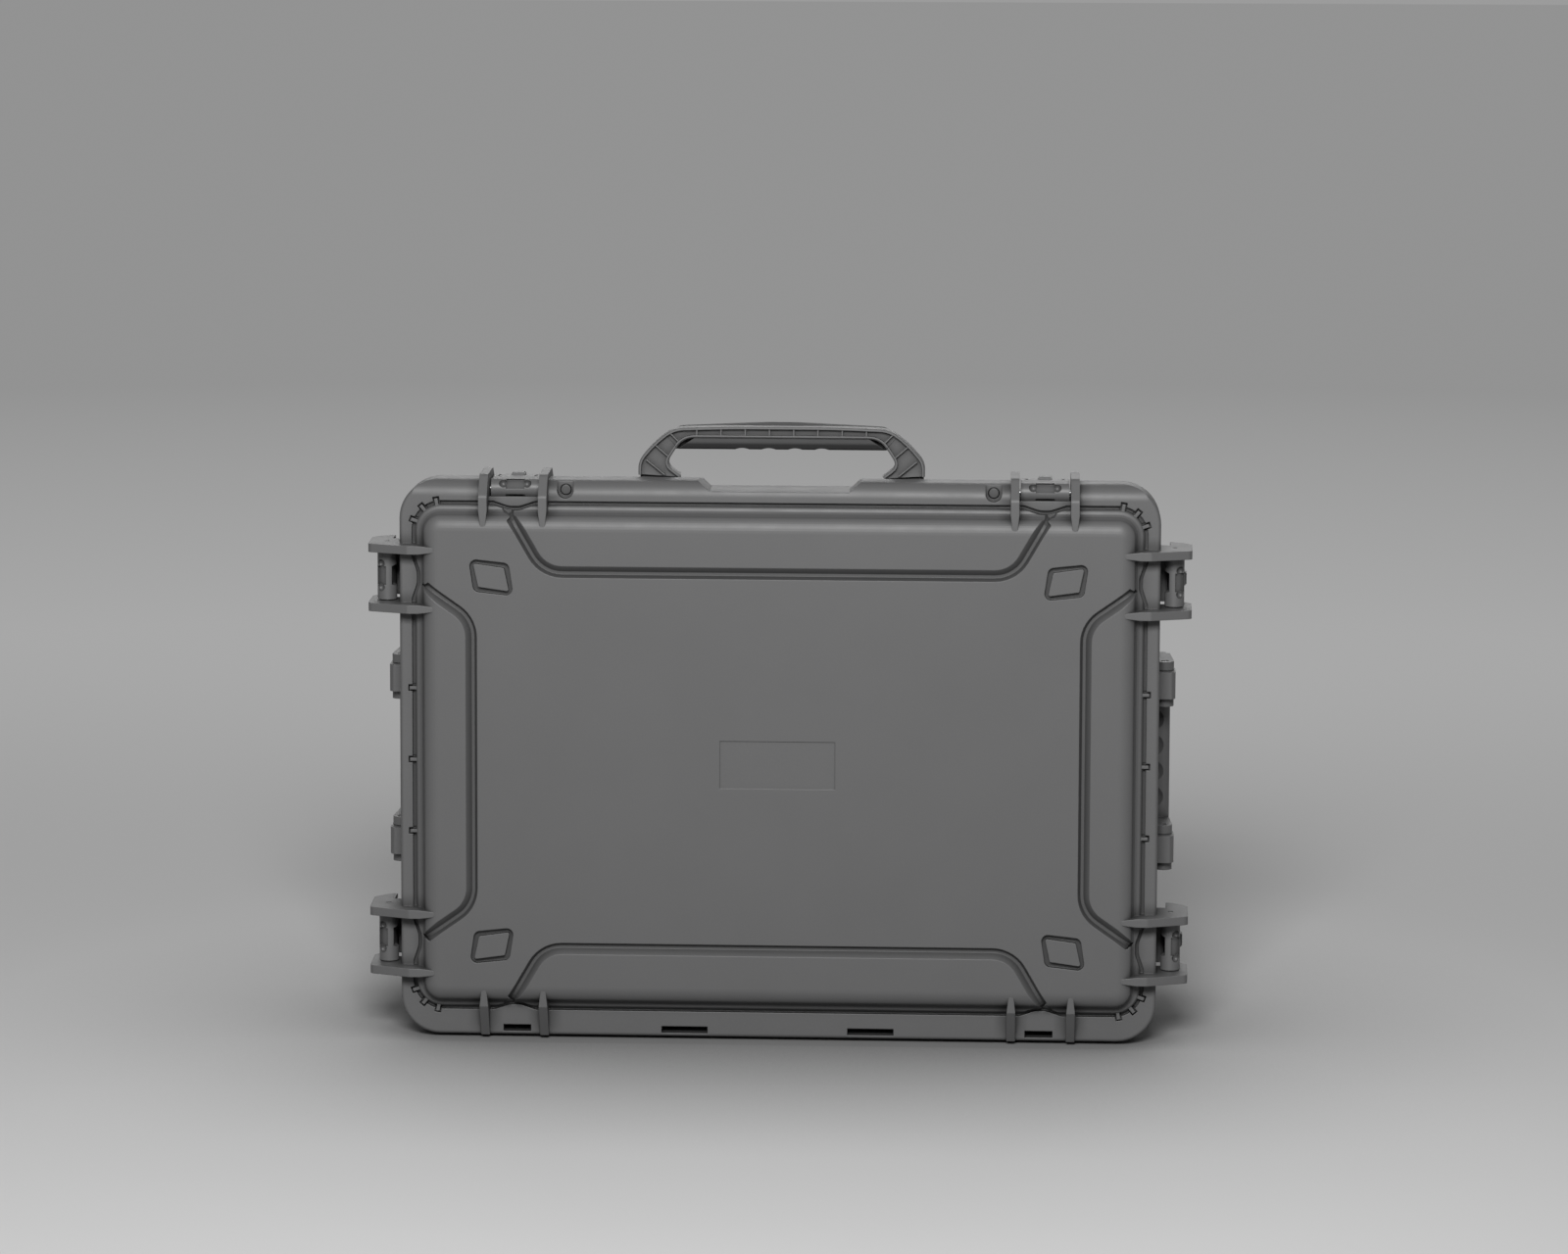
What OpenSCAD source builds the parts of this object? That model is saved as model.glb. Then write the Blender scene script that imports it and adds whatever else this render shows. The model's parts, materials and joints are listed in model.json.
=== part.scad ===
// Moulded waterproof laptop case, standing on its hinge side with the lid towards -Y.
// Depths (t) run back from the lid's front face, and heights (z) run up from the floor.
// A latch is drawn on its seat, with X along the edge, Y along the depth and Z outwards.

/* [Rim] */
// Width over the rim
rim_w = 580; // [500:1:680]
// Height over the rim
rim_h = 430; // [370:1:500]
// Corner radius of the rim
rim_r = 30; // [26:1:40]
// Rounding round the rim's front edge
rim_edge = 2.5; // [1:0.5:4]
// Rounding along the top of the lid's rim
brow_r = 12; // [6:0.5:13]
// Height of the rim above the floor
floor_gap = 3; // [2:0.5:6]
// Gap between the two shells when shut
parting_gap = 0.4; // [0.2:0.1:0.8]

/* [Lid] */
// Depth of the lid from its front face to the parting line
lid_d = 46; // [44:0.5:52]
// How far the panel stands out from the rim
raised_d = 16; // [12:0.5:18]
// Band of rim beside the panel
side_band = 12.5; // [11:0.5:16]
// Band of rim above the panel
top_band = 18.7; // [16:0.1:22]
// Band of rim below the panel
foot_band = 22.4; // [20:0.1:26]
// Corner radius at the panel's foot
raised_r = 20; // [19:0.5:26]
// Width of the shoulder round the panel
shoulder_w = 18.3; // [14:0.1:18.5]
// Width of the gap line round the panel
gap_w = 3; // [2:0.1:4]
// Depth of the gap line
gap_d = 4; // [2:0.5:6]
// Thickness of the outer walls
skin = 4; // [3:0.5:5]
// Thickness of the lid's front panel
panel_wall = 9; // [8:0.5:10]

/* [Panel grooves] */
// Width of a groove
groove_w = 9; // [7:0.5:11]
// Depth of a groove
groove_d = 4.5; // [2:0.5:5]
// Distance of the upper groove below the top of the rim
groove_drop = 68; // [61:1:83]
// Distance of the lower groove above the foot of the rim
groove_up = 71; // [65:1:87]
// Distance of the side grooves in from the rim's sides
groove_side_in = 56.4; // [52:0.1:65]
// Radius of the bends
groove_bend = 25; // [20:1:30]
// Slope of the ends of the upper and lower grooves, in degrees
end_slope = 60; // [55:1:65]
// Slope of the ends of the side grooves, in degrees
side_slope = 35; // [30:1:40]
// Width of the groove round a corner pad
pad_groove = 3.7; // [2:0.1:4.5]
// Depth of the groove round a corner pad
pad_depth = 4.5; // [1:0.5:5]
// Distance of the corner pads in from the rim's sides
pad_in = 71.7; // [68:0.1:78]
// Distance of the corner pads in from the rim's top and foot
pad_off = 72.6; // [69:0.1:79]
// Depth of the waves in the gap line, opposite the latches and hinges
wave_d = 4; // [2:0.5:5]
// Spacing of the small tabs along the sides
tab_pitch = 55.5; // [48:0.5:62]
// Width of the dip under the carrying handle
dip_w = 106; // [90:1:116]
// Depth of the dip under the carrying handle
dip_depth = 7.5; // [5:0.5:9]
// Width of the bare label recess
label_w = 88; // [60:1:120]
// Height of the bare label recess
label_h = 36.5; // [20:0.5:60]

/* [Base] */
// Depth of the whole case
case_d = 200; // [180:1:230]
// Depth of the base's flange
flange_d = 14; // [12:0.5:16]
// Step from the rim in to the flange
flange_in = 2; // [1.5:0.1:3]
// Step from the rim in to the base's wall
wall_in = 17; // [16:0.5:18]
// How far the base's wall leans in over its depth
draft = 7; // [4:0.5:9]
// Thickness of the base's wall
base_wall = 4.5; // [3.5:0.5:4.5]
// Thickness of the base's floor
base_floor = 5; // [4:0.5:8]
// Distance of the feet from the middle
foot_x = 168; // [150:1:200]
// Width of a foot
foot_w = 52; // [36:1:60]
// Depth of a foot
foot_l = 20; // [16:1:26]
// Depth of the relief valve
valve_t = 85; // [80:1:90]
// Radius of the relief valve's stem
valve_r = 8; // [6:0.5:8]

/* [Latches] */
// Distance of the top latches in from the rim's sides
latch_in = 88; // [84:1:100]
// Distance of the side latches in from the rim's top and foot
latch_off = 74.2; // [69:0.1:85]
// Clear width between a pair of ears
ear_gap = 39; // [36:0.5:42]
// Thickness of an ear
ear_t = 6.5; // [5:0.5:8]
// How far an ear stands out from the seat
ear_out = 24.7; // [22:0.1:27]
// Depth of the latch pivot
pivot_t = 31; // [30:0.5:33]
// Height of the latch pivot over its seat
pivot_out = 11; // [10.5:0.5:12]
// Radius of the latch barrel
barrel_r = 7.5; // [6:0.5:7.5]
// Radius of the latch pins
latch_pin_r = 2; // [1.5:0.25:3]
// Width of an ear's nose at its tip
nose_w = 3.8; // [3:0.1:5]
// Gap between a latch and its ears on each side
latch_side_gap = 1; // [0.3:0.1:1.2]
// Travel of a button
button_travel = 2; // [1:0.5:2.5]

/* [Hinge] */
// Height of the hinge axis above the rim's foot
hinge_up = 6.5; // [6.5:0.5:8]
// Depth of the hinge axis behind the parting line
hinge_back = 3; // [2.5:0.5:4]
// Radius of the hinge pins
hinge_pin_r = 2.5; // [2:0.25:3]
// Radius of a hinge knuckle
knuckle_r = 6.5; // [5.5:0.25:6.5]

/* [Carrying handle] */
// Half the width over the handle's legs
handle_x = 110; // [104:1:116]
// Height of the handle's crown above the rim
handle_rise = 39.5; // [36:0.5:46]
// Depth of the handle pivot
handle_t = 70; // [69:0.5:72]
// Height of the handle pivot below the top of the rim
handle_drop = 11; // [10:0.5:11]
// Radius of the handle pins
handle_pin_r = 2.5; // [2:0.25:3]
// Depth of the handle's frame
frame_t = 12; // [10:0.5:13]
// Thickness of the handle's rims
handle_rim = 2; // [1.5:0.1:3]
// Height of the grip below the handle's crown
grip_h = 20.5; // [18:0.5:22]
// How far the grip reaches behind the handle's frame
grip_back = 12; // [10:0.5:13]
// Spacing of the finger scallops in every grip
finger_pitch = 20.4; // [19:0.1:22]

/* [Side handles] */
// Height of the side handles from the middle, downwards
side_drop = 10; // [0:1:16]
// Distance between the middles of a handle's two brackets
bracket_span = 128; // [118:1:136]
// Height of a bracket
bracket_h = 21; // [18:1:24]
// Depth of a bracket from front to back
bracket_l = 28; // [24:1:32]
// Thickness of the lugs above and below a bracket
side_lug = 6.5; // [5:0.5:8]
// Depth of the side handle pivots
side_t = 78; // [77:0.5:82]
// Radius of the side handle pins
side_pin_r = 3; // [2.5:0.25:3.5]
// Distance of the finger bar behind its pivot
bar_reach = 40; // [38:1:50]

/* [Seal and lining] */
// Width of the seal
seal_w = 4; // [3:0.2:5]
// Width of the laptop recess in the foam
laptop_w = 400; // [320:1:440]
// Height of the laptop recess in the foam
laptop_h = 280; // [220:1:310]
// Depth of the laptop recess in the foam
laptop_d = 38; // [20:1:60]

/* [Fits] */
// Clearance all round a pin that turns
running = 0.05; // [0.02:0.01:0.1]
// Clearance all round a pin that is held fast
held = 0.01; // [0:0.01:0.03]
// Gap between pieces that pass each other
gap = 0.4; // [0.3:0.1:0.6]

/* [Hidden] */
$fn = 48;
eps = 0.01;
mid_z = floor_gap + rim_h / 2;
rim_top = floor_gap + rim_h;
latch_mid = mid_z - 1;
latch_x = rim_w / 2 - latch_in;
latch_z = rim_h / 2 - latch_off;
raised_w = rim_w - 2 * side_band;
raised_h = rim_h - top_band - foot_band;
raised_z = floor_gap + foot_band + raised_h / 2;
raised_top = rim_top - top_band;
groove_top_z = rim_top - groove_drop;
groove_low_z = floor_gap + groove_up;
groove_side_x = rim_w / 2 - groove_side_in;
groove_end = latch_x + 5;
pad_x = rim_w / 2 - pad_in;
pad_z = rim_h / 2 - pad_off;
tab_w = 2.5;
tab_out = 1.8;
tab_moat = 1.3;
land = 9;
cavity_w = raised_w - 2 * land;
cavity_h = raised_h - 2 * land;
cavity_r = raised_r - land + 3;
lid_back = lid_d - parting_gap / 2;
base_front = lid_d + parting_gap / 2;
flange_back = base_front + flange_d;
wall_w = rim_w - 2 * wall_in;
wall_h = rim_h - 2 * wall_in;
wall_r = 24;
inner_w = wall_w - 2 * base_wall;
inner_h = wall_h - 2 * base_wall;
inner_r = wall_r - base_wall;
feet_t = [flange_back + 23.8, case_d - 18];
back_round = 8;
wall_lean = draft / (case_d - base_floor - flange_back);
dip_slope = 10.5;
valve_low = mid_z + inner_h / 2 - wall_lean * (valve_t - valve_r - flange_back) + 0.3;
valve_seat = mid_z + wall_h / 2 + 0.4;

latch_w = ear_gap - 2 * latch_side_gap;
ear_x = ear_gap / 2 + ear_t / 2;
eyelet_x = latch_x - ear_gap;
top_seat = raised_top;
side_seat = rim_w / 2;
seat_lift = 2.2;
lip_up = gap_w + 3;
lip_d = 5.5;
nose_t = 0.3;
nose_in = 14.8;
catch_out = 6.3;
hook_tip = 2.3;
lever_under = 7.2;
lever_out = 18.2;
hook_t = flange_back + gap;
hook_d = 4;
button_w = 10.5;
button_l = 12;
button_t = flange_back - 5.2;
button_floor = 9.7;
button_rise = 2.6;
spring_h = 2.6;

hinge_t = lid_d + hinge_back;
hinge_z = floor_gap + hinge_up;
handle_z = rim_top - handle_drop;
crown = rim_top + handle_rise;
leg_in = handle_x - 33;
frame_back = handle_t - 3;
frame_front = frame_back - frame_t;
frame_low = rim_top + 1;
grip_low = crown - grip_h;
bar_under = crown - 9;
lug_t = 6;

pivot_x = rim_w / 2 + 6;
outer_x = rim_w / 2 + 14;
pad_face = rim_w / 2 - wall_in + 1;
side_z = mid_z - side_drop;
lug_z = bracket_h / 2 + gap + side_lug / 2;
bar_w = 16;
bar_d = 20;
bar_x = outer_x - 2.5 - bar_w / 2;
scallop_r = 11.6;
catch_d = 7;
slot_d = 22;

// Name, outward turn about Y, place along the edge and along the height, for each latch
LATCHES = [
    ["top_left", 0, [-latch_x, 0, top_seat]],
    ["top_right", 0, [latch_x, 0, top_seat]],
    ["left_upper", -90, [-side_seat, 0, latch_mid + latch_z]],
    ["left_lower", -90, [-side_seat, 0, latch_mid - latch_z]],
    ["right_upper", 90, [side_seat, 0, latch_mid + latch_z]],
    ["right_lower", 90, [side_seat, 0, latch_mid - latch_z]]
];
// Place along the foot and width, for each pair of slots
SLOTS = [[latch_x - 1.5, 21.4], [71.5, 35.6]];
SIDES = [["left", -1], ["right", 1]];

// Y of a depth
function yt(t) = t - case_d / 2;
// Points of a corner at b between a and c, rounded to radius r
function corner(a, b, c, r, n) =
    let (u = (a - b) / norm(a - b), v = (c - b) / norm(c - b),
        half = acos(min(1, max(-1, u * v))) / 2,
        m = (u + v) / norm(u + v),
        o = b + m * r / sin(half),
        p = b + u * r / tan(half) - o, q = b + v * r / tan(half) - o)
    [for (i = [0 : n])
        let (w = p * (1 - i / n) + q * i / n) o + w / norm(w) * r];
// A closed outline from [x, y, radius] corners
function rounded(c, n = 6) = [
    for (i = [0 : len(c) - 1])
        let (a = c[(i + len(c) - 1) % len(c)], b = c[i], d = c[(i + 1) % len(c)])
        each (b[2] == 0 ? [[b[0], b[1]]]
            : corner([a[0], a[1]], [b[0], b[1]], [d[0], d[1]], b[2], n))];
function mirrored(c) = concat(c, [for (i = [len(c) - 1 : -1 : 0]) [-c[i][0], c[i][1], c[i][2]]]);

// A rectangle with true round corners
module round_rect(w, h, r) {
    square([w - 2 * r, h], center = true);
    square([w, h - 2 * r], center = true);
    for (x = [-1, 1], y = [-1, 1])
        translate([x * (w / 2 - r), y * (h / 2 - r)]) circle(r);
}

// A round-cornered slab between two depths
module slab(w, h, r, z, t0, t1) {
    translate([0, yt(t1), z]) rotate([90, 0, 0]) linear_extrude(t1 - t0) round_rect(w, h, r);
}

// An edge profile carried round a rectangle: its x runs out from the corner centre to r
// and its y runs forwards from mid-depth
module carried(w, h, r, z) {
    a = w / 2 - r;
    b = h / 2 - r;
    translate([0, 0, z]) rotate([90, 0, 0]) {
        for (q = [0 : 3])
            rotate(q * 90) translate([q % 2 == 0 ? a : b, q % 2 == 0 ? b : a, 0])
                rotate_extrude(angle = 90) children();
        for (s = [0, 180]) rotate([0, 0, s]) {
            translate([a, b, 0]) rotate([90, 0, 0]) linear_extrude(2 * b) children();
            translate([-a, b, 0]) rotate([90, 0, 90]) linear_extrude(2 * a) children();
        }
    }
}

// A block whose sides step in by [in, t] pairs, listed from front to back
module tapered(w, h, r, z, steps) {
    last = len(steps) - 1;
    carried(w, h, r, z)
        polygon(concat([[0, -yt(steps[0][1])]], [for (s = steps) [r - s[0], -yt(s[1])]],
            [[0, -yt(steps[last][1])]]));
    translate([-w / 2 + r, yt(steps[0][1]), z - h / 2 + r])
        cube([w - 2 * r, steps[last][1] - steps[0][1], h - 2 * r]);
}

// A shape drawn in depth and height, made l long along X about its middle
module along_x(l) {
    translate([-l / 2, 0, 0]) rotate([90, 0, 90]) linear_extrude(l) children();
}

// Puts a latch piece on its seat
module seated(l) {
    translate(l[2]) rotate([0, l[1], 0]) children();
}

// Outline of the panel's shoulder, as steps in from its foot
function shoulder() = let (k = shoulder_w - 7) concat(
    [for (a = [90 : -10 : 0]) [shoulder_w - k * cos(a), 7 - 7 * sin(a)]],
    [[6.4, raised_d - 7], [5, raised_d - 4], [3.4, raised_d - 2.6], [1.2, raised_d - 2],
        [0, raised_d - 0.6], [0, raised_d + gap_d + 3]]);

// Depth of the shoulder's face at a distance s in from the panel's foot
function shoulder_t(s) = s >= shoulder_w ? 0
    : s >= 7 ? 7 * (1 - sqrt(1 - pow((shoulder_w - s) / (shoulder_w - 7), 2)))
    : s >= 5 ? 7 + (7 - s) / 2 * (raised_d - 11) : raised_d - 4 + (5 - s) * 0.8;

// Section of a panel groove as [across, deep]: steep on the panel's side
groove_section = [[-groove_w / 2 - 0.4, -2], [-groove_w / 2, 0], [-groove_w / 2 + 2.2, groove_d],
    [-groove_w / 2 + 4.5, groove_d], [groove_w / 2, 0], [groove_w / 2 + 0.4, -2]];

// Middle line of half a groove in the plane: along +X, round a bend by a and on for l
function groove_line(run, a, l) = concat([[run, 0]],
    [for (b = [a / 7 : a / 7 : a + 1]) [run + groove_bend * sin(b), groove_bend * (1 - cos(b))]],
    [for (k = [1 : 14]) let (d = k * l / 14) [run + groove_bend * sin(a) + d * cos(a),
        groove_bend * (1 - cos(a)) + d * sin(a)]]);
// The whole line, from one end to the other, with +Y away from the panel's middle
function whole_line(run, a, l) = let (h = groove_line(run, a, l), n = len(h) - 1)
    concat([for (i = [n : -1 : 0]) [-h[i][0], h[i][1]]], h);

// A groove along a line, sunk to follow the shoulder, whose foot lies foot beyond the line's start
module groove(line, foot) {
    n = len(line) - 1;
    k = len(groove_section);
    points = [for (i = [0 : n]) let (
            u = line[min(n, i + 1)] - line[max(0, i - 1)], side = [-u[1], u[0]] / norm(u),
            t = shoulder_t(foot - line[i][1]))
        for (g = groove_section)
            [line[i][0] + side[0] * g[0], yt(t + g[1]), line[i][1] + side[1] * g[0]]];
    faces = concat([[for (j = [0 : k - 1]) j]], [[for (j = [k - 1 : -1 : 0]) n * k + j]],
        [for (i = [0 : n - 1], j = [0 : k - 1]) let (q = i * k, m = (j + 1) % k)
            each [[q + j, q + k + j, q + k + m], [q + j, q + k + m, q + m]]]);
    polyhedron(points, faces, convexity = 6);
}

// All four panel grooves
module panel_grooves() {
    up = raised_top - groove_top_z;
    down = groove_low_z - floor_gap - foot_band;
    out = raised_w / 2 - groove_side_x;
    turn = groove_bend * tan(end_slope / 2);
    rise = groove_bend * (1 - cos(end_slope));
    side_turn = groove_bend * tan((90 - side_slope) / 2);
    side_run = latch_z - out * tan(side_slope) - side_turn;
    side_end = (out - 6 - groove_bend * (1 - sin(side_slope))) / cos(side_slope);
    translate([0, 0, groove_top_z]) groove(whole_line(groove_end - up / tan(end_slope) - turn,
        end_slope, (up - rise) / sin(end_slope)), up);
    translate([0, 0, groove_low_z]) mirror([0, 0, 1])
        groove(whole_line(groove_end - down / tan(end_slope) - turn,
            end_slope, (down - rise) / sin(end_slope)), down);
    for (x = [0, 1]) mirror([x, 0, 0]) translate([groove_side_x, 0, latch_mid])
        rotate([0, 90, 0]) groove(whole_line(side_run, 90 - side_slope, side_end), out);
}

// A wave opposite a latch or hinge, from depth t1 forwards, set out by d from the panel's foot
module wave(d, t1, l) {
    translate([0, yt(t1), 0]) rotate([90, 0, 0]) linear_extrude(l)
        polygon(rounded([[-19, d + 1, 0], [-4, d - wave_d, 14], [4, d - wave_d, 14], [19, d + 1, 0]]));
}

// Puts its children at the panel's foot opposite every latch and hinge, with Z outwards
module at_waves() {
    for (x = [-1, 1]) {
        translate([x * latch_x, 0, raised_top]) children();
        translate([x * latch_x, 0, floor_gap + foot_band]) mirror([0, 0, 1]) children();
        for (z = [-1, 1]) translate([x * raised_w / 2, 0, latch_mid + z * latch_z])
            rotate([0, x * 90, 0]) children();
    }
}

// Skewed outline of a corner pad, grown by g
function pad_outline(g) = rounded([
    [17.3 + g, 14.3 + g, 5 + g], [-13.5 - g, 11 + g, 5 + g],
    [-17.3 - g, -14.3 - g, 5 + g], [13.5 + g, -11 - g, 5 + g]]);

module pad_grooves() {
    for (x = [-1, 1], z = [-1, 1])
        translate([x * pad_x, yt(pad_depth), mid_z + z * pad_z]) rotate([90, 0, 0])
            mirror([x < 0 ? 1 : 0, 0, 0]) mirror([0, z < 0 ? 1 : 0, 0])
                linear_extrude(pad_depth + 1) difference() {
                    polygon(pad_outline(0));
                    polygon(pad_outline(-pad_groove));
                }
}

// Small tabs that bridge the gap line, at the corners and along the sides
module tabs(w, l, front) {
    back = raised_d + gap_d + 1;
    for (x = [-1, 1]) {
        for (z = [-1, 1], a = [20, 50, 80])
            translate([x * (raised_w / 2 - raised_r), 0, raised_z + z * (raised_h / 2 - raised_r)])
                mirror([x < 0 ? 1 : 0, 0, 0]) mirror([0, 0, z < 0 ? 1 : 0]) rotate([0, -a, 0])
                    translate([raised_r - 2, yt(front), -w / 2]) cube([l + 2, back - front, w]);
        for (z = [-1, 0, 1])
            translate([x * raised_w / 2, yt(front), latch_mid + z * tab_pitch - w / 2])
                mirror([x < 0 ? 1 : 0, 0, 0]) translate([-2, 0, 0]) cube([l + 2, back - front, w]);
    }
}

// Keeps a plate's full thickness above its foot and thins it to a round nose there
module nosed(foot, top) {
    intersection() {
        children();
        translate([0, yt(lid_d + 21), 0]) rotate([90, 0, 0]) linear_extrude(lid_d + 22)
            polygon(rounded([[-ear_t / 2 - eps, top, 0], [-ear_t / 2 - eps, foot + 12, 0],
                [-nose_w / 2, foot, nose_w * 0.48], [nose_w / 2, foot, nose_w * 0.48],
                [ear_t / 2 + eps, foot + 12, 0], [ear_t / 2 + eps, top, 0]]));
    }
}

// One ear of a latch, as a plate in depth and height over the seat: foot is the height of its
// nose's tip and brow the height where its front starts to slope back
module ear_plate(foot, brow) {
    over = catch_out + 2;
    nosed(foot, ear_out + 1) along_x(ear_t) polygon([for (p = rounded([
        [nose_t, foot - 1, 0], [nose_t, brow, 4], [13, ear_out - 1, 5], [52, ear_out, 7],
        [61, ear_out - 7, 4], [lid_d + 20, over + 2, 2], [lid_d + 19, over, 0], [lid_back, over, 0],
        [lid_back, -4, 0], [raised_d + 12, foot - 1, 0]], 4)) [yt(p[0]), p[1]]]);
}

// A rod on a latch's pivot line
module pivot_rod(r, l) {
    translate([0, yt(pivot_t), pivot_out]) rotate([0, 90, 0]) cylinder(r = r, h = l, center = true);
}

module ear_pair(foot, brow) {
    for (x = [-1, 1]) translate([x * ear_x, 0, 0]) ear_plate(foot, brow);
}

// One fin of the hinge, with its knuckle behind the parting line
module hinge_fin() {
    tip = floor_gap + foot_band + nose_in;
    mirror([0, 0, 1]) nosed(-tip, -floor_gap + 1) mirror([0, 0, 1]) along_x(ear_t)
        polygon([for (p = [[nose_t, tip + 1], [nose_t, floor_gap + 25],
            [raised_d - 2, floor_gap], [hinge_t, floor_gap], [lid_back, hinge_z + knuckle_r],
            [lid_back, floor_gap + foot_band + 4], [raised_d + 4, tip + 1]]) [yt(p[0]), p[1]]]);
    along_x(ear_t) translate([yt(hinge_t), hinge_z]) circle(knuckle_r);
}

// The long dip in the top of the rim under the carrying handle
module handle_dip(depth, t0, t1) {
    translate([0, yt(t1), 0]) rotate([90, 0, 0]) linear_extrude(t1 - t0)
        polygon([[-dip_w / 2, rim_top - depth], [dip_w / 2, rim_top - depth],
            [dip_w / 2 + dip_slope, rim_top + 1], [-dip_w / 2 - dip_slope, rim_top + 1]]);
}

// Ribs across the hollow between the skin and the inner wall of a shell
module flange_ribs(t0, t1) {
    for (x = [-240 : 48 : 240]) translate([x - 1.5, yt(t0), floor_gap + 2])
        cube([3, t1 - t0, rim_h - 6]);
    for (z = [-168 : 48 : 168]) translate([-rim_w / 2 + 3, yt(t0), mid_z + z - 1.5])
        cube([rim_w - 6, t1 - t0, 3]);
}

// Hollow between the skin and the inner wall
module flange_hollow(t0, t1, inset) {
    w = rim_w - 2 * inset - 2 * skin;
    difference() {
        slab(w, rim_h - 2 * inset - 2 * skin, rim_r - inset - skin, mid_z, t0, t1);
        slab(raised_w, raised_h, raised_r, raised_z, t0 - 1, t1 + 1);
        flange_ribs(t0 - 1, t1 + 1);
        for (l = LATCHES) seated(l) translate([-ear_x - ear_t, yt(t0) - 1, -24])
            cube([2 * ear_x + 2 * ear_t, t1 - t0 + 2, 40]);
        for (x = [-1, 1]) translate([x * latch_x - ear_x - ear_t, yt(t0) - 1, floor_gap])
            cube([2 * ear_x + 2 * ear_t, t1 - t0 + 2, foot_band + 4]);
        // Solid under the dip
        translate([-dip_w / 2 - dip_slope - skin, yt(t0) - 1, rim_top - dip_depth - 2 - skin])
            cube([dip_w + 2 * dip_slope + 2 * skin, t1 - t0 + 2, 40]);
    }
}

module rim_block() {
    difference() {
        carried_block();
        // The brow, rounded along the top only
        difference() {
            translate([-rim_w / 2, yt(raised_d) - 1, rim_top - brow_r])
                cube([rim_w, brow_r + 1, brow_r + 1]);
            translate([0, yt(raised_d + brow_r), rim_top - brow_r]) rotate([0, 90, 0])
                cylinder(r = brow_r, h = rim_w + 2, center = true);
        }
        // Gap line round the panel
        difference() {
            slab(raised_w + 2 * gap_w, raised_h + 2 * gap_w, raised_r + gap_w, raised_z,
                raised_d - 1, raised_d + gap_d);
            slab(raised_w - 2, raised_h - 2, raised_r - 1, raised_z, raised_d - 2,
                raised_d + gap_d + 1);
        }
        at_waves() wave(0, raised_d + gap_d, gap_d + 1);
        tabs(tab_w + 2 * tab_moat, gap_w + tab_out + tab_moat, raised_d - 1);
    }
    // The rim's share of the waves, a gap's width out from the panel's
    at_waves() wave(gap_w, raised_d + gap_d + 0.5, gap_d + 0.5);
    intersection() {
        tabs(tab_w, gap_w + tab_out, raised_d - 1);
        slab(rim_w, rim_h, rim_r, mid_z, raised_d - 2, raised_d + gap_d + 0.5);
    }
}

// The raised panel with all that is sunk into its front
module panel() {
    difference() {
        tapered(raised_w, raised_h, raised_r, raised_z, shoulder());
        panel_grooves();
        pad_grooves();
        at_waves() wave(0, raised_d + gap_d, 12);
        translate([-label_w / 2, yt(-1), mid_z - label_h / 2]) cube([label_w, 1.4, label_h]);
    }
}

module carried_block() {
    f = rim_edge;
    carried(rim_w, rim_h, rim_r, mid_z) {
        translate([0, -yt(lid_back)]) square([rim_r, lid_back - raised_d - f]);
        translate([0, -yt(raised_d) - f - 1]) square([rim_r - f, f + 1]);
        translate([rim_r - f, -yt(raised_d) - f]) circle(f);
    }
    translate([-rim_w / 2 + rim_r, yt(raised_d), mid_z - rim_h / 2 + rim_r])
        cube([rim_w - 2 * rim_r, lid_back - raised_d, rim_h - 2 * rim_r]);
}

module lid_shell() color([0.17, 0.17, 0.17]) {
    difference() {
        union() {
            rim_block();
            panel();
            for (l = LATCHES) seated(l)
                ear_pair(-nose_in - (l[1] == 0 ? 0 : side_band), l[1] == 0 ? 8 : -7.5);
            for (x = [-1, 1], e = [-1, 1]) translate([x * latch_x + e * ear_x, 0, 0]) hinge_fin();
        }
        // Inside
        slab(cavity_w, cavity_h, cavity_r, raised_z, raised_d + gap_d, lid_d + 1);
        slab(cavity_w - 18, cavity_h - 18, cavity_r, raised_z, panel_wall, raised_d + gap_d + 1);
        flange_hollow(raised_d + gap_d + skin, lid_d + 1, 0);
        seal_ring(running * 2, lid_back - seal_w + 0.6, lid_d + 1);
        // Front
        for (x = SLOTS, s = [-1, 1])
            translate([s * x[0] - x[1] / 2, yt(raised_d - 1), floor_gap + 2.6])
                cube([x[1], slot_d, 5.3]);
        // Latch seats in the top of the rim, each behind a lip
        for (l = LATCHES, c = [[-1, lip_up], [lip_d, seat_lift]]) if (l[1] == 0) seated(l)
            translate([-ear_gap / 2, yt(raised_d + c[0]), c[1]])
                cube([ear_gap, lid_d - raised_d + 2, top_band]);
        handle_dip(dip_depth, raised_d - 1, lid_d + 1);
        eyelets();
        for (l = LATCHES) seated(l) pivot_rod(latch_pin_r + held, ear_gap + 2 * ear_t + 2);
        // Room for the base's knuckles, and the bores of the hinge
        for (x = [-1, 1]) translate([x * latch_x, yt(hinge_t), hinge_z]) rotate([0, 90, 0]) {
            cylinder(r = knuckle_r + 0.6, h = ear_gap, center = true);
            cylinder(r = hinge_pin_r + held, h = ear_gap + 2 * ear_t + 2, center = true);
        }
    }
}

// Blind U-shaped padlock places in the brow, each with a ring-marked disc
module eyelets() {
    z = rim_top - 7.5;
    for (x = [-1, 1]) translate([x * eyelet_x, 0, 0]) {
        translate([0, yt(raised_d + 7), z]) rotate([90, 0, 0]) cylinder(r = 6.25, h = 12);
        translate([-6.25, yt(raised_d) - 5, z]) cube([12.5, 12, 20]);
        translate([0, yt(raised_d + 8), z]) rotate([90, 0, 0]) difference() {
            cylinder(r = 4.4, h = 2);
            cylinder(r = 3.7, h = 5, center = true);
        }
    }
}

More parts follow.
